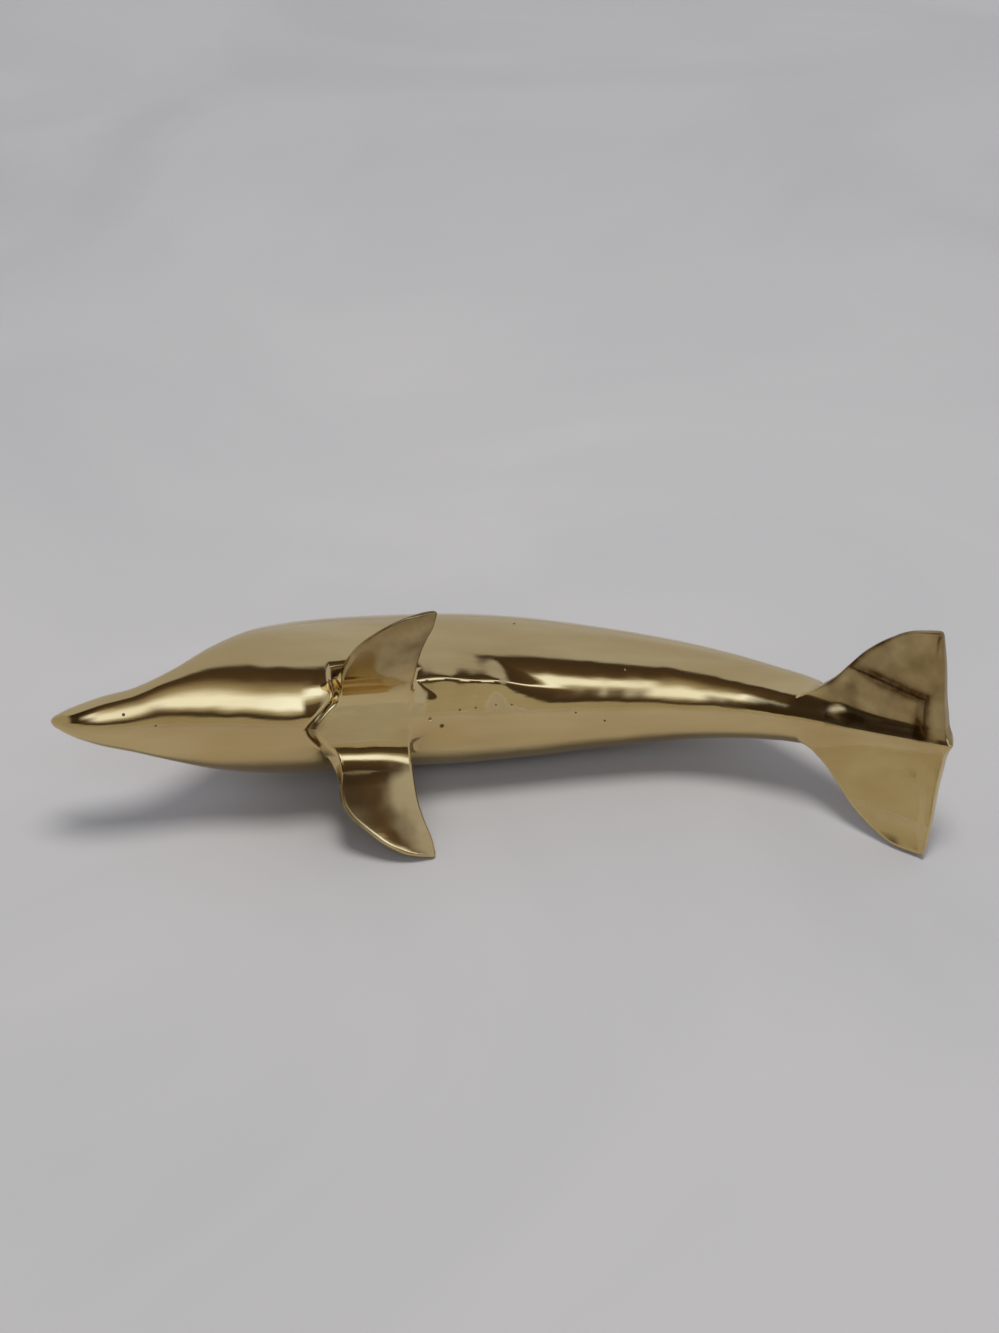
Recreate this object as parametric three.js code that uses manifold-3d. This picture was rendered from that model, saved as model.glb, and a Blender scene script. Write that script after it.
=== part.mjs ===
// Brass dolphin figurine, lying on its right flank. Millimetres, +Z up.
// The castings are drawn in the dolphin's own frame: X runs from the snout to the
// tail, Y to its right side, Z to its back. One group then lays it down to rest.

import * as THREE from "three";
import { mergeVertices } from "three/addons/utils/BufferGeometryUtils.js";
import Module from "manifold-3d";

// Body castings
const bodyLength = 258;
const snoutStart = -2;
const snoutRadius = 1.6;
const wall = 3;
const seamGap = 0.3;
const cavityStart = 40;

// Fits between castings
const clearance = 0.3;
const tabThickness = 3;
const tabReach = 2;
const tabRoot = 1;
const spigotLength = 12;

// Flipper yoke: a chest plate with both flippers on it
const yokeX = 108;
const plateRise = 1.9;
const yokePitch = 12;
const plateHalfWidth = 12;
const plateDepth = 7;
const plateFrontLean = 0.6;
const plateRearLean = 1;
const flipperLength = 39;
const flipperDroop = 37.5;
const flipperTwist = 6;
const flipperFoldRadius = 14;
const flipperRootThickness = 4.4;
const flipperTipThickness = 1.8;
const flipperEdgeShare = 0.6;
const flipperBelly = 0.35;
const flipperLean = 0.3;
const yokeTabLength = 18;

// Seat of the yoke in the belly, with a groove between the throat and its front edge
const seatDepth = 2;
const seatLength = 20;
const seatRunOut = 12;
const seatHalfWidth = 19;
const seatFlatHalfWidth = 13;
const grooveLength = 3.8;
const grooveReach = 4.3;

// Tail flukes
const flukePitch = 33;
const flukeRise = 8.3;
const flukeHalfSpan = 40.2;
const flukeDroop = 10.5;
const flukeFoldRadius = 12;
const flukeRootThickness = 7;
const flukeTipThickness = 2.4;
const flukeEdgeShare = 0.35;
const flukeHollow = 1.3;
const flukeRim = 0.8;
const flukeRimStart = 0.82;
const flukeRimEnd = 0.97;
const bossLength = 1.4;
const bossHalfWidth = 6;

// Dorsal fin
const finX = 140;
const finHeight = 22;
const finSink = 5;
const finRootThickness = 5.5;
const finTipThickness = 2;
const finEdgeShare = 0.25;
const finTabLength = 16;

// Lines of the body: at shares of its length, the heights of the back, the widest
// point and the belly, the half width, and how sharp the keel of the belly is. They
// run on into the root of the flukes.
const stations = [
  { at: -0.008, back: -37, wide: -38, belly: -39, half: 1.2, keel: 0 },
  { at: 0.003, back: -35.6, wide: -38, belly: -40.6, half: 2.7, keel: 0 },
  { at: 0.012, back: -34.4, wide: -38.2, belly: -42, half: 4, keel: 0.04 },
  { at: 0.031, back: -32.6, wide: -38.3, belly: -43.7, half: 6.1, keel: 0.06 },
  { at: 0.058, back: -31, wide: -37.8, belly: -44.4, half: 8.5, keel: 0.06 },
  { at: 0.1, back: -28.8, wide: -36.5, belly: -43.8, half: 11.3, keel: 0.06 },
  { at: 0.147, back: -21, wide: -31.6, belly: -41.6, half: 16, keel: 0.06 },
  { at: 0.194, back: -7.5, wide: -23.3, belly: -40.4, half: 21.3, keel: 0.06 },
  { at: 0.24, back: 6, wide: -16.5, belly: -40.6, half: 24.6, keel: 0.06 },
  { at: 0.287, back: 15.5, wide: -12.8, belly: -41.2, half: 25.8, keel: 0.06 },
  { at: 0.33, back: 20.5, wide: -10, belly: -40, half: 26.2, keel: 0.04 },
  { at: 0.372, back: 22.8, wide: -7.7, belly: -36, half: 26.5, keel: 0 },
  { at: 0.434, back: 24.5, wide: -4.6, belly: -31.4, half: 26.6, keel: 0 },
  { at: 0.523, back: 25.2, wide: -1.6, belly: -28.4, half: 26.4, keel: 0 },
  { at: 0.62, back: 24.6, wide: 0, belly: -25.6, half: 24.6, keel: 0 },
  { at: 0.717, back: 22, wide: 0.3, belly: -23, half: 21.4, keel: 0 },
  { at: 0.814, back: 17, wide: -2, belly: -22, half: 17.9, keel: 0 },
  { at: 0.891, back: 10, wide: -7.9, belly: -26.3, half: 14.9, keel: 0.04 },
  { at: 0.953, back: -0.8, wide: -17, belly: -33, half: 12.6, keel: 0.12 },
  { at: 1, back: -14.5, wide: -26.5, belly: -39, half: 11.2, keel: 0.22 },
  { at: 1.03, back: -23.5, wide: -33.5, belly: -42.8, half: 7.8, keel: 0.45 },
  { at: 1.06, back: -33, wide: -41, belly: -47.4, half: 4.8, keel: 0.7 },
  { at: 1.1, back: -45, wide: -49.5, belly: -53.4, half: 3.2, keel: 0.75 },
  { at: 1.151, back: -55.5, wide: -58, belly: -60.9, half: 1.8, keel: 0.75 },
];

// Plan outlines: at shares of the span from the middle, the place along the chord
const flipperLead = [
  [0, -22.6], [0.05, -21.2], [0.127, -18.4], [0.2, -15.3], [0.3, -14.4], [0.45, -15.3],
  [0.54, -15.1], [0.61, -14.2], [0.69, -12.2], [0.77, -9], [0.84, -5.4], [0.89, -2.4],
  [0.94, 1.6], [0.975, 5.6], [1, 11],
];
const flipperTrail = [
  [0, 13.6], [0.16, 12.8], [0.3, 11.2], [0.42, 10.4], [0.52, 10.4], [0.62, 10.9],
  [0.74, 12.3], [0.85, 13.9], [1, 14.8],
];
const flukeLead = [
  [0, -5], [0.22, -4.6], [0.3, 0], [0.41, 5.6], [0.52, 9.6], [0.68, 15.3],
  [0.77, 19.4], [0.87, 25.2], [0.955, 32], [1, 41],
];
const flukeTrail = [[0, 46], [0.2, 45.4], [0.42, 44.6], [0.7, 44.2], [1, 43]];
const finLead = [[0, 0], [0.36, 8], [0.68, 17.5], [0.91, 28], [1, 37]];
const finTrail = [[0, 35], [0.36, 33], [0.68, 34], [0.91, 37], [1, 39]];

const brass = { color: 0xa68d52, roughness: 0.16, metalness: 1 };

const wasm = await Module();
wasm.setup();

const degrees = THREE.MathUtils.degToRad;

// Smooth line through points, as a function of their first number
function lineThrough(points) {
  const slopes = points.map((point, i) => {
    const before = points[Math.max(i - 1, 0)];
    const after = points[Math.min(i + 1, points.length - 1)];
    return (after[1] - before[1]) / (after[0] - before[0]);
  });
  return (at) => {
    const last = points.length - 2;
    let i = 0;
    while (i < last && at > points[i + 1][0]) i += 1;
    const [x0, y0] = points[i];
    const [x1, y1] = points[i + 1];
    const step = x1 - x0;
    const t = (at - x0) / step;
    if (t < 0) return y0 + slopes[0] * (at - x0);
    if (t > 1) return y1 + slopes[i + 1] * (at - x1);
    const t2 = t * t;
    const t3 = t2 * t;
    const start = (2 * t3 - 3 * t2 + 1) * y0 + (t3 - 2 * t2 + t) * step * slopes[i];
    return start + (3 * t2 - 2 * t3) * y1 + (t3 - t2) * step * slopes[i + 1];
  };
}

const bodyLine = (name) => lineThrough(
  stations.map((station) => [station.at * bodyLength, station[name]]),
);
const backLine = bodyLine("back");
const wideLine = bodyLine("wide");
const bellyLine = bodyLine("belly");
const halfLine = bodyLine("half");
const keelLine = bodyLine("keel");

function steepness(line, x) {
  const reach = 1;
  return Math.hypot(1, (line(x + reach) - line(x - reach)) / (2 * reach));
}

// Closed solid through rings that all have the same number of points
function loft(rings) {
  const count = rings[0].length;
  const centre = (ring) => ring.reduce((sum, point) => sum.add(point), new THREE.Vector3())
    .divideScalar(count);
  const positions = rings.flat().concat(centre(rings[0]), centre(rings.at(-1)));
  const startCap = rings.length * count;
  const lastRing = (rings.length - 1) * count;
  const faces = [];
  for (let k = 0; k < count; k += 1) {
    const next = (k + 1) % count;
    for (let i = 0; i < rings.length - 1; i += 1) {
      const a = i * count;
      const b = a + count;
      faces.push(a + k, b + k, b + next);
      faces.push(a + k, b + next, a + next);
    }
    faces.push(startCap, k, next);
    faces.push(startCap + 1, lastRing + next, lastRing + k);
  }
  const geometry = new THREE.BufferGeometry().setFromPoints(positions);
  geometry.setIndex(faces);
  return solid(geometry);
}

// Solid for joining and cutting, with its faces turned outward
function solid(geometry) {
  const bare = geometry.clone();
  bare.deleteAttribute("normal");
  bare.deleteAttribute("uv");
  const merged = mergeVertices(bare, 1e-4);
  const vertProperties = new Float32Array(merged.attributes.position.array);
  const triVerts = new Uint32Array(merged.index.array);
  const made = new wasm.Manifold(new wasm.Mesh({ numProp: 3, vertProperties, triVerts }));
  if (made.volume() > 0) return made;
  triVerts.reverse();
  return new wasm.Manifold(new wasm.Mesh({ numProp: 3, vertProperties, triVerts }));
}

function block(low, high) {
  const size = new THREE.Vector3().subVectors(high, low);
  const middle = new THREE.Vector3().addVectors(low, high).divideScalar(2);
  const geometry = new THREE.BoxGeometry(size.x, size.y, size.z);
  return solid(geometry.translate(middle.x, middle.y, middle.z));
}

// Body form between two places, grown outward or, when negative, drawn inward
function bodyForm(start, end, growth) {
  const ringPoints = 28;
  const ringSpacing = 6.5;
  const noseShares = [0.04, 0.4, 1, 2.5, 4.5];
  const nose = noseShares.map((share) => snoutStart + snoutRadius * share);
  const places = start > snoutStart ? [start] : nose;
  const first = places.at(-1);
  const steps = Math.round((end - first) / ringSpacing);
  for (let i = 1; i <= steps; i += 1) places.push(first + ((end - first) * i) / steps);
  return loft(places.map((x) => {
    const ahead = Math.min((x - snoutStart) / snoutRadius, 1);
    const roundIn = Math.sqrt(1 - (1 - ahead) ** 2);
    const half = (halfLine(x) + growth) * roundIn;
    const wide = wideLine(x);
    const tall = (backLine(x) + growth * steepness(backLine, x) - wide) * roundIn;
    const deep = (wide - bellyLine(x) + growth * steepness(bellyLine, x)) * roundIn;
    const keel = Math.max(keelLine(x), 0);
    const ring = [];
    for (let k = 0; k < ringPoints; k += 1) {
      const angle = (2 * Math.PI * k) / ringPoints;
      const side = Math.sin(angle);
      const rise = Math.cos(angle);
      const narrowing = rise < 0 ? Math.abs(side) ** keel : 1;
      const z = wide + (rise < 0 ? deep : tall) * rise;
      ring.push(new THREE.Vector3(x, half * side * narrowing, z));
    }
    return ring;
  }));
}

// Thin blade: sections laid out along a span. Each gives its leading and trailing
// place, the heights of its low and high face at shares of the chord, how far its
// edges lean out for each millimetre of height, and a placing function.
function blade(sections) {
  const facePoints = 9;
  return loft(sections.map(({ lead, trail, low, high, leadLean, trailLean, put }) => {
    const ring = [];
    for (let k = 0; k < 2 * facePoints; k += 1) {
      const upper = k >= facePoints;
      const order = upper ? 2 * facePoints - 1 - k : k;
      const share = (1 - Math.cos((Math.PI * order) / (facePoints - 1))) / 2;
      const front = upper ? lead - leadLean * (high(0) - low(0)) : lead;
      const rear = upper ? trail + trailLean * (high(1) - low(1)) : trail;
      const height = upper ? high(share) : low(share);
      ring.push(put(THREE.MathUtils.lerp(front, rear, share), height));
    }
    return ring;
  }));
}

// Share of the full thickness at a share of the chord, from thin edges to the middle
function fullness(share, edge) {
  return edge + (1 - edge) * Math.sin(Math.PI * share) ** 0.8;
}

// Spans measured out from the middle, closer together towards the tips
function spanPlaces(reach, steps) {
  const places = [];
  for (let i = -steps; i <= steps; i += 1) {
    places.push(reach * Math.sin((Math.PI / 2) * (i / steps)));
  }
  return places;
}

// Point at a distance along a line that lies flat, bends and then droops
function drooped(distance, flat, radius, droop) {
  const arc = radius * droop;
  const bent = THREE.MathUtils.clamp(distance - flat, 0, arc);
  const angle = bent / radius;
  const beyond = Math.max(distance - flat - arc, 0);
  const straight = Math.min(distance, flat);
  return {
    out: straight + radius * Math.sin(angle) + beyond * Math.cos(angle),
    down: radius * (1 - Math.cos(angle)) + beyond * Math.sin(angle),
    angle,
  };
}

// Places a blade's chord and thickness at a span, drooping to both sides
function droopedPlacer(span, flat, radius, droop) {
  const side = Math.sign(span);
  const { out, down, angle } = drooped(Math.abs(span), flat, radius, degrees(droop));
  return (chord, height) => new THREE.Vector3(
    chord,
    side * (out + height * Math.sin(angle)),
    height * Math.cos(angle) - down,
  );
}

function pitched(form, angle, x, z) {
  return form.rotate([0, angle, 0]).translate([x, 0, z]);
}

// Upright tab in the middle plane that the two body castings close on
function tab(start, length, low, high, growth) {
  return block(
    new THREE.Vector3(start - growth, -tabThickness / 2 - growth, low - growth),
    new THREE.Vector3(start + length + growth, tabThickness / 2 + growth, high + growth),
  );
}

// The yoke's own frame lies in its chest plate, with the body above it
function onChest(form) {
  return pitched(form, -yokePitch, yokeX, bellyLine(yokeX) - plateRise);
}

function yokeTab(growth) {
  const high = plateRise + wall + tabReach * 2;
  return onChest(tab(-yokeTabLength / 2, yokeTabLength, tabRoot, high, growth));
}

function finTab(growth) {
  const start = finX + (finTrail[0][1] - finTabLength) / 2;
  const low = backLine(start + finTabLength) - wall - tabReach;
  return tab(start, finTabLength, low, backLine(start) + tabRoot, growth);
}

const bodyFit = bodyForm(snoutStart, bodyLength, clearance);

const yokeReach = plateHalfWidth + flipperLength;
const yokeLead = lineThrough(flipperLead);

// Height of the belly's skin at a distance to the side of the keel
function bellySkin(x, side) {
  const wide = wideLine(x);
  return wide - (wide - bellyLine(x)) * Math.sqrt(1 - (side / halfLine(x)) ** 2);
}

// Cutter for the yoke's seat and the groove ahead of it, at a level below the skin
function yokeSeat(level) {
  const steps = 9;
  const grooveShares = [0, 0.25, 0.5, 0.75, 1];
  const clearOfSkin = 6;
  return loft(spanPlaces(seatHalfWidth, steps).map((side) => {
    const chord = yokeLead(Math.abs(side) / yokeReach) - plateFrontLean * grooveReach;
    const foot = yokeX + chord * Math.cos(degrees(yokePitch));
    const fade = THREE.MathUtils.smoothstep(Math.abs(side), seatFlatHalfWidth, seatHalfWidth);
    const profile = grooveShares.map((share) => [grooveLength * (share - 1), share ** 2]);
    profile.push([seatLength, 1], [seatLength + seatRunOut, 0]);
    const ring = profile.map(([along, depth]) => {
      const x = foot + along;
      const skin = bellySkin(x, side) + level;
      return new THREE.Vector3(x, side, skin + seatDepth * (1 - fade) * depth);
    });
    for (const x of [foot + seatLength + seatRunOut, foot - grooveLength]) {
      ring.push(new THREE.Vector3(x, side, bellySkin(x, side) - clearOfSkin));
    }
    return ring;
  }));
}

function flipperYoke() {
  const trail = lineThrough(flipperTrail);
  const foldStart = plateHalfWidth - (flipperFoldRadius * degrees(flipperDroop)) / 2;
  const flipperRoot = plateHalfWidth * 2;
  const thicknessAt = lineThrough([
    [0, plateDepth],
    [foldStart, plateDepth],
    [flipperRoot, flipperRootThickness],
    [yokeReach, flipperTipThickness],
  ]);
  const spans = [...spanPlaces(yokeReach, 16), -foldStart, foldStart].sort((a, b) => a - b);
  const sections = spans.map((span) => {
    const out = Math.abs(span);
    const onFlipper = THREE.MathUtils.smoothstep(out, foldStart, flipperRoot);
    const thickness = thicknessAt(out);
    const edge = THREE.MathUtils.lerp(1, flipperEdgeShare, onFlipper);
    const below = onFlipper * flipperBelly;
    const twist = Math.tan(degrees(flipperTwist)) * onFlipper;
    const place = droopedPlacer(span, foldStart, flipperFoldRadius, flipperDroop);
    return {
      lead: yokeLead(out / yokeReach),
      trail: trail(out / yokeReach),
      low: (share) => -below * thickness * fullness(share, edge),
      high: (share) => (1 - below) * thickness * fullness(share, edge),
      leadLean: THREE.MathUtils.lerp(plateFrontLean, flipperLean, onFlipper),
      trailLean: THREE.MathUtils.lerp(plateRearLean, flipperLean, onFlipper),
      put: (chord, height) => place(chord, height + chord * twist),
    };
  });
  const seated = bodyFit.subtract(yokeSeat(-clearance));
  return onChest(blade(sections)).subtract(seated).add(yokeTab(0));
}

function tailFlukes() {
  const lead = lineThrough(flukeLead);
  const trail = lineThrough(flukeTrail);
  const sections = spanPlaces(flukeHalfSpan, 13).map((span) => {
    const out = Math.abs(span);
    const reach = out / flukeHalfSpan;
    const boss = bossLength * Math.max(1 - out / bossHalfWidth, 0);
    const half = THREE.MathUtils.lerp(flukeRootThickness, flukeTipThickness, reach) / 2;
    const hollow = flukeHollow * Math.sin(Math.PI * reach);
    const onRim = (share) => THREE.MathUtils.smoothstep(share, flukeRimStart, flukeRimEnd);
    return {
      lead: lead(reach),
      trail: trail(reach) + boss,
      low: (share) => hollow * Math.sin(Math.PI * share) - half - flukeRim * onRim(share),
      high: (share) => half * fullness(share, flukeEdgeShare),
      leadLean: 0,
      trailLean: 0,
      put: droopedPlacer(span, 0, flukeFoldRadius, flukeDroop),
    };
  });
  const height = bellyLine(bodyLength) + flukeRise;
  const plates = pitched(blade(sections), flukePitch, bodyLength, height);
  const root = bodyForm(bodyLength + clearance, stations.at(-1).at * bodyLength, 0);
  const spigotStart = bodyLength - spigotLength;
  const spigot = bodyForm(spigotStart, bodyLength + wall, -wall - clearance);
  return plates.subtract(bodyFit).add(root).add(spigot);
}

function dorsalFin() {
  const lead = lineThrough(finLead);
  const trail = lineThrough(finTrail);
  const heights = [-finSink, 0, ...spanPlaces(finHeight, 6).filter((height) => height > 0)];
  const sections = heights.map((height) => {
    const reach = Math.max(height / finHeight, 0);
    const half = THREE.MathUtils.lerp(finRootThickness, finTipThickness, reach) / 2;
    return {
      lead: lead(reach),
      trail: trail(reach),
      low: (share) => -half * fullness(share, finEdgeShare),
      high: (share) => half * fullness(share, finEdgeShare),
      leadLean: 0,
      trailLean: 0,
      put: (chord, side) => new THREE.Vector3(finX + chord, side, backLine(finX) + height),
    };
  });
  return blade(sections).subtract(bodyFit).add(finTab(0));
}

function bodyHalf(side) {
  const reach = bodyLength * 2;
  const low = new THREE.Vector3(-reach, side > 0 ? seamGap / 2 : -reach, -reach);
  const high = new THREE.Vector3(reach, side > 0 ? reach : -seamGap / 2, reach);
  return bodyForm(snoutStart, bodyLength, 0)
    .subtract(bodyForm(cavityStart, bodyLength + wall, -wall))
    .subtract(yokeTab(clearance))
    .subtract(finTab(clearance))
    .subtract(yokeSeat(0))
    .intersect(block(low, high));
}

function mesh(name, form) {
  const { vertProperties, triVerts } = form.getMesh();
  const geometry = new THREE.BufferGeometry();
  geometry.setAttribute("position", new THREE.BufferAttribute(vertProperties, 3));
  geometry.setIndex(new THREE.BufferAttribute(triVerts, 1));
  geometry.computeVertexNormals();
  const made = new THREE.Mesh(geometry, new THREE.MeshStandardMaterial(brass));
  made.name = name;
  return made;
}

// Lowest corner of a mesh under a turn
function lowest(name, turn) {
  const { position } = dolphin.getObjectByName(name).geometry.attributes;
  const point = new THREE.Vector3();
  const found = new THREE.Vector3(0, 0, Infinity);
  for (let i = 0; i < position.count; i += 1) {
    point.fromBufferAttribute(position, i).applyQuaternion(turn);
    if (point.z < found.z) found.copy(point);
  }
  return found;
}

// Turn in which the right flank, flipper and fluke tip share one level
function restingTurn() {
  const up = new THREE.Vector3(0, 0, 1);
  const firstRoll = -107;
  const turn = new THREE.Quaternion().setFromAxisAngle(new THREE.Vector3(1, 0, 0), degrees(firstRoll));
  const tries = 40;
  for (let i = 0; i < tries; i += 1) {
    const flank = lowest("body_right", turn);
    const flipper = lowest("flipper_yoke", turn);
    const fluke = lowest("tail_flukes", turn);
    const normal = flipper.sub(flank).cross(fluke.sub(flank)).normalize();
    if (normal.z < 0) normal.negate();
    turn.premultiply(new THREE.Quaternion().setFromUnitVectors(normal, up));
  }
  const along = new THREE.Vector3(1, 0, 0).applyQuaternion(turn);
  const heading = -Math.atan2(along.y, along.x);
  return turn.premultiply(new THREE.Quaternion().setFromAxisAngle(up, heading));
}

const dolphin = new THREE.Group();
dolphin.add(
  mesh("body_left", bodyHalf(-1)),
  mesh("body_right", bodyHalf(1)),
  mesh("flipper_yoke", flipperYoke()),
  mesh("tail_flukes", tailFlukes()),
  mesh("dorsal_fin", dorsalFin()),
);

dolphin.quaternion.copy(restingTurn());

// The origin is under the middle of the lying figurine, on what it rests on
const figurine = new THREE.Group();
figurine.add(dolphin);
const extent = new THREE.Box3().setFromObject(figurine, true);
const middle = extent.getCenter(new THREE.Vector3());
dolphin.position.set(-middle.x, -middle.y, -extent.min.z);

export default figurine;
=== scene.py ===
"""Looks of the brass dolphin figurine, built around its packed castings.

The dolphin is drawn in its own frame, in millimetres: X runs from the snout to the
tail, Y to its right side and Z to its back. lay_down() then puts it in the part's
frame, in metres, lying on its right flank. The body is a loft. The other castings
are solids given by a distance function, which is below zero inside them, so that
their edges and the fillets where they meet the body come out smooth.
"""

import math

import bpy
import numpy as np
from mathutils import Euler, Matrix, Quaternion, Vector


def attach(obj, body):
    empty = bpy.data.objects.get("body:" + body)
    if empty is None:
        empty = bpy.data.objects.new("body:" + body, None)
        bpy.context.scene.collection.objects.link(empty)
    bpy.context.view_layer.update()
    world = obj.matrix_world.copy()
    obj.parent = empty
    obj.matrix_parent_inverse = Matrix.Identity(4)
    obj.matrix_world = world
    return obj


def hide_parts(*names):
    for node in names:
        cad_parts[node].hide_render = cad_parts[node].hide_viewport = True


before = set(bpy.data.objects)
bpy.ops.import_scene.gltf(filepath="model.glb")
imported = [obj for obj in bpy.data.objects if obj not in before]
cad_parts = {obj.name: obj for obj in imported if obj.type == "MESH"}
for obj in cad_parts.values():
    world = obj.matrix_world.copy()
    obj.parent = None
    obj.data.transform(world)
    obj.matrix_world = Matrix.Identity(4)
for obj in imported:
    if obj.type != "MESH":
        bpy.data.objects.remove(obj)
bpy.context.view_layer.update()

MM = 0.001

# How the dolphin lies
lying_roll = math.radians(-108.05)
lying_pitch = math.radians(2.31)
snout_place = Vector((-148.7, 12.83, 31.45))

# Body lines: share of the length, heights of back, widest point and belly, half
# width, and how sharp the keel is
body_length = 258.0
snout_start = -1.94
snout_radius = 1.6
stations = np.array([
    (-0.008, -37, -38, -39, 1.2, 0),
    (0.003, -35.6, -38, -40.6, 2.7, 0),
    (0.012, -34.4, -38.2, -42, 4, 0.04),
    (0.031, -32.6, -38.3, -43.7, 6.1, 0.06),
    (0.058, -31, -37.8, -44.4, 8.5, 0.06),
    (0.1, -28.8, -36.5, -43.8, 11.3, 0.06),
    (0.147, -21, -31.6, -41.6, 16, 0.06),
    (0.194, -7.5, -23.3, -40.4, 21.3, 0.06),
    (0.24, 6, -16.5, -40.6, 24.6, 0.06),
    (0.287, 15.5, -12.8, -41.2, 25.8, 0.06),
    (0.33, 20.5, -10, -40, 26.2, 0.04),
    (0.372, 22.8, -7.7, -36, 26.5, 0),
    (0.434, 24.5, -4.6, -31.4, 26.6, 0),
    (0.523, 25.2, -1.6, -28.4, 26.4, 0),
    (0.62, 24.6, 0, -25.6, 24.6, 0),
    (0.717, 22, 0.3, -23, 21.4, 0),
    (0.814, 17, -2, -22, 17.9, 0),
    (0.891, 10, -7.9, -26.3, 14.9, 0.04),
    (0.953, -0.8, -17, -33, 12.6, 0.12),
    (1, -14.5, -26.5, -39, 11.2, 0.22),
    (1.03, -23.5, -33.5, -42.8, 7.8, 0.45),
    (1.06, -33, -41, -47.4, 4.8, 0.7),
    (1.1, -45, -49.5, -53.4, 3.2, 0.75),
    (1.151, -55.5, -58, -60.9, 1.8, 0.75),
])

# Rings of the body's mesh: how far apart they are, also at the eyes and the groove
ring_step = 0.8
eye_ring_step = 0.25
groove_ring_step = 0.2

# Flipper yoke: outlines are chords at shares of the span
yoke_x = 108.0
plate_rise = 1.9
yoke_pitch = math.radians(12)
plate_half_width = 12.0
flipper_length = 38.35
flipper_droop = math.radians(37.5)
flipper_twist = math.radians(6)
fold_radius = 14.0
plate_depth = 7.0
plate_skew = 2.4
tip_skew = 0.8
plate_upper_lean = 0.4
plate_lower_lean = 0.8
plate_rear_lean = 3.0
flipper_lean = 0.3
left_sweep = 1.8
flipper_root_thickness = 4.4
flipper_tip_thickness = 1.8
flipper_below = 0.35
flipper_lead = [
    (0, -23), (0.05, -21.8), (0.127, -18.6), (0.2, -14.9), (0.3, -14.4), (0.45, -15.3),
    (0.54, -15.1), (0.61, -14.2), (0.69, -12.2), (0.77, -9), (0.84, -5.4), (0.89, -2.4),
    (0.94, 1.6), (0.975, 5.6), (1, 11),
]
flipper_trail = [
    (0, 10), (0.16, 9.8), (0.3, 10), (0.42, 10.2), (0.52, 10.4), (0.62, 10.9),
    (0.74, 12.3), (0.85, 13.9), (1, 14.8),
]

# Groove in front of the yoke
groove_reach = 3.2
groove_width = 0.2
lobe_length = 2.4
lobe_depth = 1.8
lobe_fullness = 0.96

# Tail flukes
fluke_pitch = math.radians(33)
fluke_rise = 8.3
fluke_half_span = 40.2
fluke_droop = math.radians(10.5)
fluke_fold_radius = 12.0
fluke_boss = 1.0
boss_half_width = 6.0
fluke_root_thickness = 7.0
fluke_tip_thickness = 2.4
tail_fillet = 2.5
stock_end = 296.5
stock_end_round = 1.5
fluke_lead = [
    (0, -5), (0.22, -4.6), (0.3, 0), (0.41, 5.6), (0.52, 9.6), (0.68, 15.3),
    (0.77, 19.4), (0.87, 25.2), (0.955, 32), (1, 41),
]
fluke_trail = [(0, 46), (0.2, 45.4), (0.42, 44.6), (0.7, 44.2), (1, 43)]

# Hollow in the left fluke, rim behind it, and crease in the right fluke. A slope is
# how far an edge moves in span for each mm of chord.
fluke_hollow = 1.3
basin_front = 4.0
basin_rear = 39.5
basin_span = 27.0
basin_slope = 0.275
fluke_rim = 0.8
crease_span = 22.0
crease_slope = 0.17
crease_bend = 0.05

# Filed ridge behind the yoke: its angle round the belly, how far the skin bends at it
# and on what radius, and where along the body it starts and ends
facet_ridge = math.radians(25)
facet_bend = math.radians(21.5)
facet_radius = 26.0
facet_edge = 0.6
facet_start = (106, 114)
facet_end = (142, 174)
facet_slant = 22.0

# Eyes, cut as small rings above the corner of the beak
eye_x = 57.0
eye_angle = math.radians(62)
eye_ring = 1.5
eye_ring_width = 0.5
eye_ring_depth = 0.5

# Casting pits on the belly, and their radii
pit_places = [
    (124.27, 1.6, -29.54), (128.4, 4.5, -28.75), (134.48, -1.19, -28.43), (139.96, -1.7, -27.75),
    (146.82, -2.57, -26.9), (152.33, -2.4, -26.31), (174.62, 1.25, -23.92), (184.92, 4.67, -22.44),
    (33.21, -0.16, -42.45),
]
pit_sizes = [0.8, 0.95, 0.45, 0.4, 0.4, 0.4, 0.4, 0.45, 0.4]

# Dorsal fin
fin_x = 140.0
fin_height = 22.0
fin_root_thickness = 5.5
fin_tip_thickness = 2.0
fin_fillet_radius = 4.0
fin_lead = [(0, 0), (0.36, 8), (0.68, 17.5), (0.91, 28), (1, 37)]
fin_trail = [(0, 35), (0.36, 33), (0.68, 34), (0.91, 37), (1, 39)]

# Castings set on the body: rounding of their edges, cell of the grid that they are
# meshed on, how deep they reach below the skin, and how far a fillet's rim is tucked in
edge_round = 0.9
fin_edge_round = 0.8
mesh_cell = 0.35
seat_depth = 1.2
rim_tuck = 0.06


def line_through(points):
    """Smooth line through points, as a function of their first number."""
    x, y = np.array(points, float).T
    padded_x = np.concatenate(([x[0]], x, [x[-1]]))
    padded_y = np.concatenate(([y[0]], y, [y[-1]]))
    slope = (padded_y[2:] - padded_y[:-2]) / (padded_x[2:] - padded_x[:-2])

    def line(at):
        at = np.asarray(at, float)
        i = np.clip(np.searchsorted(x, at) - 1, 0, len(x) - 2)
        step = x[i + 1] - x[i]
        t = (at - x[i]) / step
        inside = np.clip(t, 0, 1)
        t2 = inside**2
        t3 = inside**3
        value = (2 * t3 - 3 * t2 + 1) * y[i] + (3 * t2 - 2 * t3) * y[i + 1]
        value += (t3 - 2 * t2 + inside) * step * slope[i]
        value += (t3 - t2) * step * slope[i + 1]
        beyond = np.where(t < 0, slope[i], slope[i + 1]) * (t - inside) * step
        return value + beyond

    return line


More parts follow.
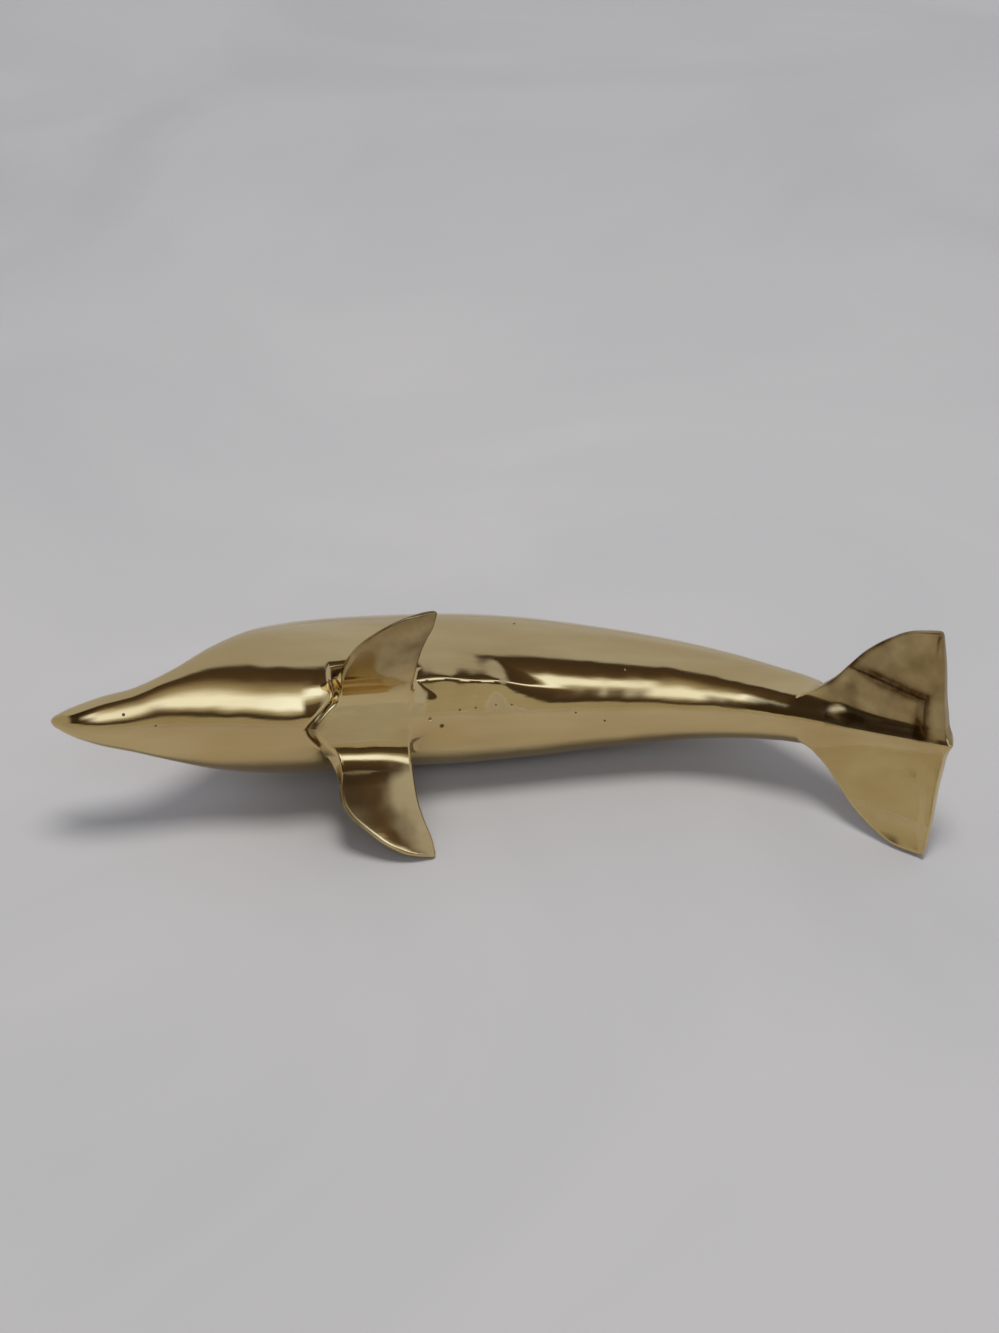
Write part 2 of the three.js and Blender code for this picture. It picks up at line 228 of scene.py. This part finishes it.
def body_line(column):
    return line_through(np.column_stack((stations[:, 0] * body_length, stations[:, column])))


back_line = body_line(1)
wide_line = body_line(2)
belly_line = body_line(3)
half_line = body_line(4)
keel_line = body_line(5)


def smoothstep(low, high, value):
    t = np.clip((value - low) / (high - low), 0, 1)
    return t * t * (3 - 2 * t)


def bump(value, centre, width):
    return np.exp(-(((value - centre) / width) ** 2))


def smooth_union(a, b, radius):
    """Lower of two distances, with a fillet of that size between the solids."""
    h = np.clip(0.5 + 0.5 * (b - a) / radius, 0, 1)
    return b + (a - b) * h - radius * h * (1 - h)


def smooth_overlap(a, b, radius):
    return -smooth_union(-a, -b, radius)


def body_distance(p):
    """Distance to the body's plain skin, good near it."""
    x, y, z = p.T
    wide = wide_line(x)
    below = z < wide
    tall = np.where(below, wide - belly_line(x), back_line(x) - wide)
    half = half_line(x)
    power = 2 / (1 + np.where(below, np.clip(keel_line(x), 0, 1), 0))
    across = np.abs(y) / half
    up = (z - wide) / tall
    level = across**power + up**2 - 1
    slope_y = power * across ** (power - 1) / half
    slope_z = 2 * np.abs(up) / tall
    return level / np.maximum(np.hypot(slope_y, slope_z), 0.6 / half)


def to_pitched(p, x, z, pitch):
    """Points in a frame at (x, 0, z) whose X is turned up by pitch."""
    along = p[:, 0] - x
    up = p[:, 2] - z
    return (
        along * math.cos(pitch) + up * math.sin(pitch),
        p[:, 1],
        up * math.cos(pitch) - along * math.sin(pitch),
    )


def unfolded(y, z, flat, radius, droop):
    """Span and height of points about a plate that lies flat, bends and then droops."""
    out = np.abs(y) - flat
    down_from_centre = z + radius
    angle = np.arctan2(out, down_from_centre)
    tip_span = out * math.cos(droop) - down_from_centre * math.sin(droop)
    tip_height = out * math.sin(droop) + down_from_centre * math.cos(droop) - radius
    span = np.where(angle < droop, flat + radius * angle, flat + radius * droop + tip_span)
    height = np.where(angle < droop, np.hypot(out, down_from_centre) - radius, tip_height)
    on_flat = out < 0
    return np.where(on_flat, np.abs(y), span), np.where(on_flat, z, height)


def blade_distance(
    chord, span, reach, lead, trail, low, high, edge, lead_lean=0, trail_lean=0, lead_span=None,
):
    """Distance to a plate with an outline in plan, faces at low and high, round edges.

    The edges can lean, which makes the outline grow away from the low face. The front
    edge can be read at a span of its own.
    """
    if lead_span is None:
        lead_span = span
    share = np.clip(lead_span / reach, 0, 1)
    step = 0.004
    near = np.clip(share - step, 0, 1)
    far = np.clip(share + step, 0, 1)
    front_slope = (lead(far) - lead(near)) / ((far - near) * reach)
    front = (lead(share) - chord) / np.hypot(1, front_slope)
    front = (front + lead_lean * low) / np.hypot(1, lead_lean)
    back = chord - trail(np.clip(span / reach, 0, 1))
    back = (back + trail_lean * low) / np.hypot(1, trail_lean)
    outline = smooth_overlap(smooth_overlap(front, back, edge), lead_span - reach, 2 * edge)
    return smooth_overlap(outline, np.maximum(low, high), edge)


def share_across(chord, lead, trail):
    """Share of the way from the front edge to the rear one."""
    return np.clip((chord - lead) / (trail - lead), 0, 1)


fold_start = plate_half_width - fold_radius * flipper_droop / 2
yoke_reach = plate_half_width + flipper_length
yoke_lead = line_through(flipper_lead)
yoke_trail = line_through(flipper_trail)
yoke_thickness = line_through([
    (0, plate_depth), (fold_start, plate_depth),
    (2 * plate_half_width, flipper_root_thickness), (yoke_reach, flipper_tip_thickness),
])


def yoke_frame(p):
    return to_pitched(p, yoke_x, float(belly_line(yoke_x)) - plate_rise, yoke_pitch)


def front_lean(side):
    """How far the plate's front edge leans, for each mm of depth, on either side."""
    return plate_upper_lean + (plate_lower_lean - plate_upper_lean) * smoothstep(-4, 4, side)


def front_span(side, span):
    """Span at which the front edge is read: its point lies a little to one side."""
    on_flipper = smoothstep(24, 40, span)
    skew = plate_skew * (1 - on_flipper) - tip_skew * on_flipper
    return np.abs(np.sign(side) * span - skew)


def yoke_solid(p):
    """Plate with both flippers, one folded blade."""
    chord, side, up = yoke_frame(p)
    chord = chord + left_sweep * smoothstep(-24, -50, side)
    fold = fold_start + plate_skew * np.sign(side)
    span, height = unfolded(side, up, fold, fold_radius, flipper_droop)
    flipper = smoothstep(fold_start, 2 * plate_half_width, span)
    height = height - chord * math.tan(flipper_twist) * flipper
    lead_span = front_span(side, span)
    lead = yoke_lead(np.clip(lead_span / yoke_reach, 0, 1))
    trail = yoke_trail(np.clip(span / yoke_reach, 0, 1))
    across = share_across(chord, lead, trail)
    fullness = 1 - 0.4 * flipper * (1 - 4 * across * (1 - across))
    thickness = yoke_thickness(span) * fullness
    below = flipper_below * flipper
    rear_lean = plate_rear_lean * (1 - smoothstep(4, 11, span))
    return blade_distance(
        chord, span, yoke_reach, yoke_lead, yoke_trail,
        -below * thickness - height, height - (1 - below) * thickness, edge_round,
        flipper_lean + (front_lean(side) - flipper_lean) * (1 - flipper),
        flipper_lean + rear_lean, lead_span,
    )


def groove_depth(p):
    """How far the skin dips where the throat rounds off in front of the yoke."""
    chord, side, up = yoke_frame(p)
    lead = yoke_lead(np.clip(front_span(side, np.abs(side)) / yoke_reach, 0, 1))
    ahead = lead - groove_reach * front_lean(side) - chord
    level = lobe_fullness * np.clip(1 - (ahead - groove_width) / lobe_length, 0, 1)
    round_off = (1 - np.sqrt(1 - level**2)) / (1 - math.sqrt(1 - lobe_fullness**2))
    behind = 1 - smoothstep(20, 32, -ahead)
    near = 1 - smoothstep(13, 19, np.abs(side))
    return lobe_depth * round_off * behind * near * (1 - smoothstep(6, 12, up))


def eye_depth(p):
    """How far the skin dips in the ring that is cut round each eye."""
    wide = float(wide_line(eye_x))
    y = float(half_line(eye_x)) * math.sin(eye_angle)
    z = wide + (float(back_line(eye_x)) - wide) * math.cos(eye_angle)
    away = np.hypot(np.hypot(p[:, 0] - eye_x, np.abs(p[:, 1]) - y), p[:, 2] - z)
    return eye_ring_depth * bump(away, eye_ring, eye_ring_width)


def facet_rise(p):
    """How far the skin stands up along an uneven filed ridge on the left of the belly."""
    x, y, z = p.T
    wide = wide_line(x)
    angle = np.arctan2(np.abs(y) / half_line(x), (wide - z) / (wide - belly_line(x)))
    uneven = 0.6 * np.sin(0.33 * x) + 0.4 * np.sin(0.71 * x + 1)
    bend = facet_bend * (1 - 0.09 * uneven) * smoothstep(*facet_start, x)
    bend = bend * (1 - smoothstep(*facet_end, x + facet_slant * (angle - facet_ridge)))
    ridge = facet_ridge - math.radians(6) * smoothstep(144, 160, x)
    ridge = ridge + math.radians(1.2) * np.sin(0.21 * x)
    off = np.hypot(facet_radius * (angle - ridge), facet_edge) - facet_edge
    rise = np.maximum(facet_radius * bend - off, 0) ** 2 / (2 * facet_radius)
    return np.where(y < 0, rise, 0)


def dipped_distance(p):
    """Distance to the body's skin with the groove and the ridge in it."""
    return body_distance(p) + groove_depth(p) - facet_rise(p)


def body_skin(x, angle, side):
    """Points of the skin at places along the body and angles from the back down."""
    ahead = np.minimum((x - snout_start) / snout_radius, 1)
    round_in = np.sqrt(np.clip(1 - (1 - ahead) ** 2, 0, 1))
    sine = np.sin(angle)
    rise = np.cos(angle)
    wide = wide_line(x)
    belly = belly_line(x)
    back = back_line(x)
    narrowing = np.where(rise < 0, np.clip(keel_line(x), 0, 1), 0)
    across = np.abs(sine) ** (1 + narrowing) * np.sign(sine)
    z = np.where(rise < 0, wide + (wide - belly) * rise, wide + (back - wide) * rise)
    y = half_line(x) * across * side
    plain = np.stack((x, y * round_in, wide + (z - wide) * round_in), axis=1)
    inward = np.stack((np.zeros_like(x), -y, wide - z), axis=1)
    inward /= np.maximum(np.linalg.norm(inward, axis=1), 1e-6)[:, None]
    dip = groove_depth(plain) + eye_depth(plain) - facet_rise(plain)
    return plain + inward * dip[:, None]


fluke_lead_line = line_through(fluke_lead)
fluke_trail_line = line_through(fluke_trail)


def fluke_frame(p):
    height = float(belly_line(body_length)) + fluke_rise
    return to_pitched(p, body_length, height, -fluke_pitch)


def basin_depth(chord, span):
    """How far a place lies inside the outline of the hollow in the left blade."""
    below_edge = (basin_span - basin_slope * chord - span) / 1.04
    before_rim = basin_rear - chord
    behind_lead = 0.5 * (chord - basin_front)
    return np.minimum(np.minimum(below_edge, before_rim), behind_lead)


def fluke_blades(p):
    """Both flukes, one blade with a soft fold along its middle."""
    chord, side, up = fluke_frame(p)
    span, height = unfolded(side, up, 0.0, fluke_fold_radius, fluke_droop)
    share = np.clip(span / fluke_half_span, 0, 1)
    thickness = fluke_root_thickness + (fluke_tip_thickness - fluke_root_thickness) * share
    across = share_across(chord, fluke_lead_line(share), fluke_trail_line(share))
    basin = smoothstep(0, 3.5, basin_depth(chord, span)) * smoothstep(1, 4, span)
    from_crease = np.maximum(span - crease_span - crease_slope * chord, 0)
    right_dent = np.where(side > 0, crease_bend * from_crease, 0)
    dent = np.where(side < 0, fluke_hollow * basin, right_dent) * (1 - smoothstep(0.75, 1, share))
    rim = fluke_rim * smoothstep(0.82, 0.97, across)
    back = thickness / 2 * (0.35 + 0.65 * np.sin(np.pi * across) ** 0.7)
    belly = thickness / 2 - dent + rim
    boss = fluke_boss * np.clip(1 - span / boss_half_width, 0, 1)
    return blade_distance(
        chord - boss * across**4, span, fluke_half_span, fluke_lead_line, fluke_trail_line,
        -belly - height, height - back, edge_round,
    )


fin_lead_line = line_through(fin_lead)
fin_trail_line = line_through(fin_trail)


def fin_blade(p):
    height = p[:, 2] - float(back_line(fin_x))
    share = np.clip(height / fin_height, 0, 1)
    half = (fin_root_thickness + (fin_tip_thickness - fin_root_thickness) * share) / 2
    chord = p[:, 0] - fin_x
    across = share_across(chord, fin_lead_line(share), fin_trail_line(share))
    half = half * (0.25 + 0.75 * np.sin(np.pi * across) ** 0.8)
    return blade_distance(
        chord, height, fin_height, fin_lead_line, fin_trail_line,
        -half - p[:, 1], p[:, 1] - half, fin_edge_round,
    )


def seated(form, body, fillet):
    """A casting on the body, with a fillet that runs out on the skin.

    Gives the distance to the casting and the distance that its shading follows.
    """

    def joined(p):
        return smooth_union(form(p), body(p), fillet(p))

    def distance(p):
        own = form(p)
        size = fillet(p)
        tucked = joined(p) + rim_tuck * smoothstep(0.8 * size, size, own)
        outside = np.maximum(tucked, -(body(p) + seat_depth))
        return np.maximum(outside, own - size)

    return distance, joined


def yoke_fillet(p):
    """Small fillet at the front of the yoke, wider behind it."""
    return 1 + 1.8 * smoothstep(4, 12, yoke_frame(p)[0])


def fin_fillet(p):
    return np.full(len(p), fin_fillet_radius)


def tail_joined(p):
    stock = smooth_overlap(body_distance(p), p[:, 0] - stock_end, stock_end_round)
    return smooth_union(fluke_blades(p), stock, tail_fillet)


def tail_distance(p):
    """Flukes and the end of the tail stock, with a fillet that runs out on the body."""
    beyond = p[:, 0] - body_length
    body = np.maximum(body_distance(p), beyond)
    blades = fluke_blades(p)
    off_blades = np.maximum(beyond, tail_fillet - blades)
    tuck = rim_tuck * smoothstep(0.8 * tail_fillet, tail_fillet, blades) * (beyond < 0)
    return np.maximum(np.maximum(tail_joined(p) + tuck, -(body + seat_depth)), -off_blades)


def body_painted_shade(p):
    """Painted shade in the groove in front of the yoke and in the rings round the eyes."""
    return 0.9 * smoothstep(0.4, 1.6, groove_depth(p)) + smoothstep(0.1, 0.4, eye_depth(p))


def yoke_painted_shade(p):
    """Painted reflection and shade on the flippers, most on the left one, and painted shade at the
    seat of the plate's front; the brass is rougher there too.
    """
    chord, side, _ = yoke_frame(p)
    beyond = smoothstep(13, 24, np.abs(side))
    left = 0.5 * beyond * smoothstep(0, -2, side)
    right = 0.6 * beyond * smoothstep(0, 2, side) * smoothstep(-2, -12, chord)
    seat = 0.6 * smoothstep(1.6, 0.4, np.abs(dipped_distance(p))) * smoothstep(2, -6, chord)
    return np.clip(left + right + seat, 0, 1)


def fluke_painted_shade(p):
    """Painted reflection and shade over the left fluke, most at the edge of its hollow, its root
    and its front; the brass is rougher there too.
    """
    chord, side, _ = fluke_frame(p)
    span = np.abs(side)
    lens = bump(basin_depth(chord, span), 2.4, 2.6) * smoothstep(8, 20, chord)
    root = 0.8 * bump(span, 3, 1.4) * smoothstep(-2, 3, chord) * (1 - smoothstep(14, 20, chord))
    lead = fluke_lead_line(np.clip(span / fluke_half_span, 0, 1))
    front = 0.4 * (1 - smoothstep(0.5, 4, chord - lead))
    left = smoothstep(1, -1, side) * smoothstep(-4, 6, chord)
    return np.clip((0.48 + lens + root + front) * left, 0, 1)


# No painted shade on the dorsal fin
def no_painted_shade(p):
    return np.zeros(len(p))


def grid_values(distance, low, count, cell):
    """Distance on a grid, worked out point by point only near the surface."""
    coarse = 4
    coarse_count = (count + coarse - 1) // coarse + 1
    index = np.indices(coarse_count).reshape(3, -1).T * coarse
    rough = distance(low + cell * index).reshape(coarse_count)
    nearest = [(np.arange(count[k]) + coarse // 2) // coarse for k in range(3)]
    value = rough[np.ix_(*nearest)]
    near = np.argwhere(np.abs(value) < 6 * cell)
    value[tuple(near.T)] = distance(low + cell * near)
    return value


def surface_net(distance, low, high, cell):
    """Vertices and quads of the surface where distance is zero, found on a grid."""
    low = np.array(low, float)
    count = np.ceil((np.array(high) - low) / cell).astype(int) + 1
    inside = grid_values(distance, low, count, cell) < 0
    filled = sum(
        inside[i : count[0] - 1 + i, j : count[1] - 1 + j, k : count[2] - 1 + k].astype(int)
        for i in (0, 1) for j in (0, 1) for k in (0, 1)
    )
    active = (filled > 0) & (filled < 8)
    number = np.full(active.shape, -1)
    number[active] = np.arange(active.sum())
    points = low + cell * (np.argwhere(active) + 0.5)
    quads = []
    for axis in range(3):
        a, b = [k for k in range(3) if k != axis]
        first = np.take(inside, range(count[axis] - 1), axis)
        second = np.take(inside, range(1, count[axis]), axis)
        crossing = np.argwhere(first != second)
        crossing = crossing[
            (crossing[:, a] > 0) & (crossing[:, b] > 0)
            & (crossing[:, a] < count[a] - 1) & (crossing[:, b] < count[b] - 1)
        ]
        starts_inside = first[tuple(crossing.T)]
        ring = []
        for da, db in ((-1, -1), (0, -1), (0, 0), (-1, 0)):
            cell_index = crossing.copy()
            cell_index[:, a] += da
            cell_index[:, b] += db
            ring.append(number[tuple(cell_index.T)])
        ring = np.stack(ring, axis=1)
        flip = starts_inside if axis == 1 else ~starts_inside
        ring[flip] = ring[flip][:, ::-1]
        quads.append(ring)
    return points, np.concatenate(quads)


def gradient(distance, points, step=0.02):
    """Slope of the distance at each point."""
    slopes = []
    for axis in range(3):
        shift = np.zeros(3)
        shift[axis] = step
        slopes.append((distance(points + shift) - distance(points - shift)) / (2 * step))
    return np.stack(slopes, axis=1)


def relaxed(distance, points, quads, rounds=6):
    """Points spread evenly over the surface and set exactly on it."""
    edges = np.concatenate([quads[:, [k, (k + 1) % 4]] for k in range(4)])
    for _ in range(rounds):
        total = np.zeros_like(points)
        weight = np.zeros(len(points))
        for a, b in ((0, 1), (1, 0)):
            np.add.at(total, edges[:, a], points[edges[:, b]])
            np.add.at(weight, edges[:, a], 1)
        points = points + 0.5 * (total / np.maximum(weight, 1)[:, None] - points)
        for _ in range(2):
            slope = gradient(distance, points)
            size = np.maximum((slope**2).sum(1), 0.2)
            points = points - slope * (distance(points) / size)[:, None]
    return points


turn = Euler((lying_roll, lying_pitch, 0), "XYZ").to_matrix()
lying = Matrix.Translation(snout_place * MM) @ turn.to_4x4() @ Matrix.Scale(MM, 4)
lying_array = np.array(lying)


def lay_down(points):
    return points @ lying_array[:3, :3].T + lying_array[:3, 3]


class Nodes:
    """Shorthands for the nodes of a material or a world."""

    def __init__(self, owner):
        owner.use_nodes = True
        self.tree = owner.node_tree

    def fill(self, node, inputs):
        """Give each input a number or colour, or join it to another node's output."""
        for name, value in inputs.items():
            if isinstance(value, bpy.types.NodeSocket):
                self.tree.links.new(value, node.inputs[name])
            else:
                node.inputs[name].default_value = value

    def add(self, kind, inputs=None, **settings):
        node = self.tree.nodes.new("ShaderNode" + kind)
        for name, value in settings.items():
            setattr(node, name, value)
        self.fill(node, inputs or {})
        return node

    def maths(self, operation, first, second):
        return self.add("Math", {0: first, 1: second}, operation=operation).outputs["Value"]

    def ranged(self, value, low, high, to_low=0, to_high=1):
        """Value between low and high, moved to lie between the other two."""
        inputs = {"From Min": low, "From Max": high, "To Min": to_low, "To Max": to_high}
        return self.add("MapRange", {"Value": value, **inputs}).outputs["Result"]

    def mixed(self, share, first, second):
        inputs = {"Factor": share, "A": first, "B": second}
        return self.add("Mix", inputs, data_type="RGBA").outputs["Result"]

    def ramp(self, value, stops):
        """Colours at places from 0 to 1, blended between them."""
        node = self.add("ValToRGB", {"Fac": value})
        elements = node.color_ramp.elements
        while len(elements) > 1:
            elements.remove(elements[-1])
        elements[0].position, elements[0].color = stops[0]
        for position, colour in stops[1:]:
            elements.new(position).color = colour
        return node.outputs["Color"]

    def noise(self, place, scale, detail, stretch=(1, 1, 1), distortion=0):
        stretched = self.add("Mapping", {"Vector": place, "Scale": stretch}).outputs["Vector"]
        inputs = {"Scale": scale, "Detail": detail, "Distortion": distortion}
        return self.add("TexNoise", {"Vector": stretched, **inputs}).outputs["Fac"]

    def raised(self, height, distance, normal=None):
        """Normal that shows height as relief, on top of the relief in normal."""
        node = self.add("Bump", {"Height": height, "Distance": distance})
        if normal is not None:
            self.fill(node, {"Normal": normal})
        return node.outputs["Normal"]


def make_brass():
    """Polished brass with faint waves, streaks along it and pits, with painted shade and painted
    reflections in its hollows, on the flippers and on the left fluke, which are also rougher.
    """
    material = bpy.data.materials.new("polished_brass")
    nodes = Nodes(material)
    place = nodes.add("TexCoord").outputs["Object"]

    # Mask of painted shade and painted reflection, written by each casting's mesh: it darkens the
    # brass towards brown and makes it rougher
    painted_shade = nodes.add("Attribute", attribute_name="painted_shade").outputs["Fac"]
    patches = nodes.ranged(nodes.noise(place, 110, 4), 0.3, 0.7, 0.6, 1.3)
    painted_shade_and_dullness = nodes.maths("MULTIPLY", painted_shade, patches)
    streaks = nodes.noise(place, 70, 5, (0.22, 1, 1))

    # Pits of the whole surface are the middles of a few cells
    spots = nodes.add("TexVoronoi", {"Vector": place, "Scale": 160}).outputs
    draw = nodes.add("SeparateColor", {"Color": spots["Color"]}).outputs["Red"]
    middle = nodes.ranged(spots["Distance"], 0.05, 0.09, 1, 0)
    pits = nodes.maths("MULTIPLY", middle, nodes.ranged(draw, 0.93, 0.97))
    for centre, radius in zip(lay_down(np.array(pit_places)), pit_sizes):
        away = nodes.add("VectorMath", {0: place, 1: centre}, operation="DISTANCE")
        near = nodes.ranged(away.outputs["Value"], 0.4 * radius * MM, radius * MM, 1, 0)
        pits = nodes.maths("MAXIMUM", pits, near)

    light_brass = (0.69, 0.535, 0.265, 1)
    deep_brass = (0.6, 0.44, 0.2, 1)
    # Painted shade and painted reflection: the brown below is mixed in where the castings' mask is
    # high
    painted_shade_brown = (0.09, 0.045, 0.012, 1)
    pit_brown = (0.1, 0.06, 0.03, 1)
    colour = nodes.mixed(nodes.ranged(streaks, 0.35, 0.65), light_brass, deep_brass)
    colour = nodes.mixed(painted_shade_and_dullness, colour, painted_shade_brown)
    colour = nodes.mixed(pits, colour, pit_brown)

    polished = nodes.ranged(streaks, 0.35, 0.7, 0.07, 0.15)
    roughness = nodes.maths("ADD", polished, nodes.ranged(painted_shade_and_dullness, 0, 1, 0, 0.16))

    normal = nodes.raised(nodes.noise(place, 38, 2), 0.0009)
    normal = nodes.raised(nodes.noise(place, 230, 4, (0.12, 1, 1)), 0.00004, normal)
    normal = nodes.raised(nodes.maths("MULTIPLY", pits, -1), 0.0003, normal)
    nodes.fill(nodes.tree.nodes["Principled BSDF"], {
        "Metallic": 1, "Base Color": colour, "Roughness": roughness, "Normal": normal,
    })
    return material


brass = make_brass()


def add_piece(name, node, points, quads, normals, painted_shade):
    """Mesh in the part's frame that stands for one casting."""
    mesh = bpy.data.meshes.new(name)
    mesh.from_pydata(lay_down(points).tolist(), [], quads)
    mesh.polygons.foreach_set("use_smooth", [True] * len(mesh.polygons))
    turned = normals @ np.array(turn).T
    turned /= np.linalg.norm(turned, axis=1)[:, None]
    mesh.normals_split_custom_set_from_vertices(turned.tolist())
    # Mask of painted shade and painted reflection, for the brass to read
    attribute = mesh.attributes.new("painted_shade", "FLOAT", "POINT")
    attribute.data.foreach_set("value", painted_shade.astype(np.float32))
    piece = bpy.data.objects.new(name, mesh)
    bpy.context.scene.collection.objects.link(piece)
    mesh.materials.append(brass)
    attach(piece, "root")
    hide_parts(node)


def body_half(name, node, side):
    """One half of the body: rings of the loft, each from the back round to the keel."""
    # Points lie closer together on the belly, for the groove and the ridge
    angle = np.concatenate((np.linspace(0, 2.1, 84)[:-1], np.linspace(2.1, np.pi, 100)))
    nose = snout_start + snout_radius * (1 - np.cos(np.linspace(0.12, 1.57, 10)))
    groove_start = yoke_x + flipper_lead[0][1] - 10
    places = np.concatenate((
        nose,
        np.arange(nose[-1] + ring_step, eye_x - 3, ring_step),
        np.arange(eye_x - 3, eye_x + 3, eye_ring_step),
        np.arange(eye_x + 3, groove_start, ring_step),
        np.arange(groove_start, yoke_x, groove_ring_step),
        np.arange(yoke_x, body_length, ring_step),
        [body_length],
    ))
    around = len(angle)
    rings = len(places)
    x = np.repeat(places, around)
    turned = np.tile(angle, rings)
    points = body_skin(x, turned, side)
    along = body_skin(x + 0.01, turned, side) - body_skin(x - 0.01, turned, side)
    round_step = body_skin(x, turned + 0.004, side) - body_skin(x, turned - 0.004, side)
    normals = np.cross(round_step, along) * side

    faces = []
    for i in range(rings - 1):
        for k in range(around - 1):
            a = i * around + k
            faces.append((a, a + around, a + around + 1, a + 1))
    # Flat faces where the halves meet, at the tail end and at the snout
    backs = [i * around for i in range(rings)]
    keels = [i * around + around - 1 for i in range(rings)]
    for i in range(rings - 1):
        faces.append((keels[i], keels[i + 1], backs[i + 1], backs[i]))
    faces.append([(rings - 1) * around + k for k in range(around)])
    faces.append(list(range(around))[::-1])
    if side > 0:
        faces = [face[::-1] for face in faces]
    add_piece(name, node, points, faces, normals, body_painted_shade(points))


def solid_piece(name, node, form, low, high, painted_shade):
    """One casting, meshed from its distance functions inside a box."""
    distance, shading = form
    points, quads = surface_net(distance, low, high, mesh_cell)
    points = relaxed(distance, points, quads)
    add_piece(name, node, points, quads.tolist(), gradient(shading, points), painted_shade(points))


body_half("left_body_casting", "body_left", -1)
body_half("right_body_casting", "body_right", 1)
solid_piece(
    "flipper_casting", "flipper_yoke", seated(yoke_solid, dipped_distance, yoke_fillet),
    (80, -56, -66), (134, 56, -22), yoke_painted_shade,
)
solid_piece(
    "fluke_casting", "tail_flukes", (tail_distance, tail_joined),
    (246, -44, -72), (304, 44, -10), fluke_painted_shade,
)
solid_piece(
    "dorsal_fin_casting", "dorsal_fin", seated(fin_blade, body_distance, fin_fillet),
    (132, -9, 12), (184, 9, 50), no_painted_shade,
)


def add_floor():
    """Pale floor with faint tones, as pale far away as it is near the figurine."""
    half = 12.0
    corners = [(-half, -half, 0), (half, -half, 0), (half, half, 0), (-half, half, 0)]
    mesh = bpy.data.meshes.new("floor")
    mesh.from_pydata(corners, [], [(0, 1, 2, 3)])
    floor = bpy.data.objects.new("floor", mesh)
    bpy.context.scene.collection.objects.link(floor)
    material = bpy.data.materials.new("floor")
    mesh.materials.append(material)
    nodes = Nodes(material)
    place = nodes.add("TexCoord").outputs["Object"]
    tones = nodes.noise(place, 3.5, 5, distortion=1.2)
    away = nodes.add("VectorMath", {0: place}, operation="LENGTH").outputs["Value"]
    nodes.fill(nodes.tree.nodes["Principled BSDF"], {
        "Base Color": nodes.ramp(tones, [
            (0.35, (0.46, 0.445, 0.425, 1)), (0.6, (0.5, 0.48, 0.455, 1)),
        ]),
        "Roughness": 0.6,
        "Specular IOR Level": 0.2,
        "Emission Color": (1, 0.98, 0.96, 1),
        "Emission Strength": nodes.ranged(away, 0.6, 2.2, 0, 0.26),
    })


def add_world():
    """Pale surroundings with a dark room in front and a long window in it.

    The colour of a direction depends on its angle round the X axis, from level at the
    front over the top to level at the back, and on how far it points along X.
    """
    world = bpy.data.worlds.new("studio")
    bpy.context.scene.world = world
    nodes = Nodes(world)
    direction = nodes.add("TexCoord").outputs["Generated"]
    split = nodes.add("SeparateXYZ", {"Vector": direction}).outputs
    angle = nodes.maths("ARCTAN2", split["Z"], nodes.maths("MULTIPLY", split["Y"], -1))
    share = nodes.maths("DIVIDE", angle, math.pi)
    pale = (0.495, 0.52, 0.6, 1)
    warm = (0.43, 0.41, 0.36, 1)
    brown = (0.11, 0.075, 0.05, 1)
    dark = (0.05, 0.036, 0.025, 1)
    black = (0.035, 0.024, 0.014, 1)
    glow = (0.5, 0.48, 0.42, 1)
    window = (1.32, 1.55, 2.1, 1)

    def banded(bands):
        """Colours at angles in degrees."""
        return nodes.ramp(share, [(degrees / 180, colour) for degrees, colour in bands])

    wide_window = banded([
        (0, warm), (10.5, warm), (11.5, dark), (17, dark), (23, glow), (30, window),
        (43, window), (55, glow), (72, brown), (90, dark), (94, pale), (180, pale),
    ])
    high_window = banded([
        (0, warm), (10.5, warm), (11.5, dark), (33, brown), (40, glow), (47, window),
        (56, window), (60, glow), (64, brown), (90, dark), (94, pale), (180, pale),
    ])
    no_window = banded([
        (0, warm), (16, warm), (18, black), (50, dark), (90, black), (94, pale),
    ])
    colour = warm
    for low, high, beyond in (
        (-0.78, -0.73, no_window), (-0.5, -0.35, high_window), (-0.35, -0.2, wide_window),
        (0.22, 0.3, high_window), (0.52, 0.62, pale),
    ):
        colour = nodes.mixed(nodes.ranged(split["X"], low, high), colour, beyond)
    nodes.fill(nodes.tree.nodes["Background"], {"Color": colour})


def add_lamp(name, place, target, size, power):
    data = bpy.data.lights.new(name, "AREA")
    data.shape = "DISK"
    data.size = size
    data.energy = power
    lamp = bpy.data.objects.new(name, data)
    lamp.location = place
    lamp.rotation_euler = (Vector(target) - Vector(place)).to_track_quat("-Z", "Y").to_euler()
    lamp.visible_glossy = False
    bpy.context.scene.collection.objects.link(lamp)


def add_camera():
    """Camera of the photograph, from its fit to the figurine's outline."""
    azimuth = math.radians(2.08)
    elevation = math.radians(35.95)
    roll = math.radians(-0.43)
    distance = 696.7
    across = -0.16
    above = -11.09
    target = Vector((0, 0, 30))
    forward = Vector((
        math.sin(azimuth) * math.cos(elevation),
        math.cos(azimuth) * math.cos(elevation),
        -math.sin(elevation),
    ))
    right = Vector((math.cos(azimuth), -math.sin(azimuth), 0))
    right.rotate(Quaternion(forward, -roll))
    up = right.cross(forward)
    data = bpy.data.cameras.new("camera")
    data.sensor_fit = "HORIZONTAL"
    data.sensor_width = 36
    data.lens = 72.07
    data.clip_start = 0.01
    camera = bpy.data.objects.new("camera", data)
    camera.location = (target - across * right - above * up - distance * forward) * MM
    camera.rotation_euler = Matrix((right, up, -forward)).transposed().to_euler()
    bpy.context.scene.collection.objects.link(camera)
    bpy.context.scene.camera = camera


add_floor()
add_world()
add_lamp("overhead", (0.1, 0.02, 1.5), (0, 0, 0), 0.6, 14.0)
add_camera()
bpy.context.scene.view_settings.view_transform = "Standard"
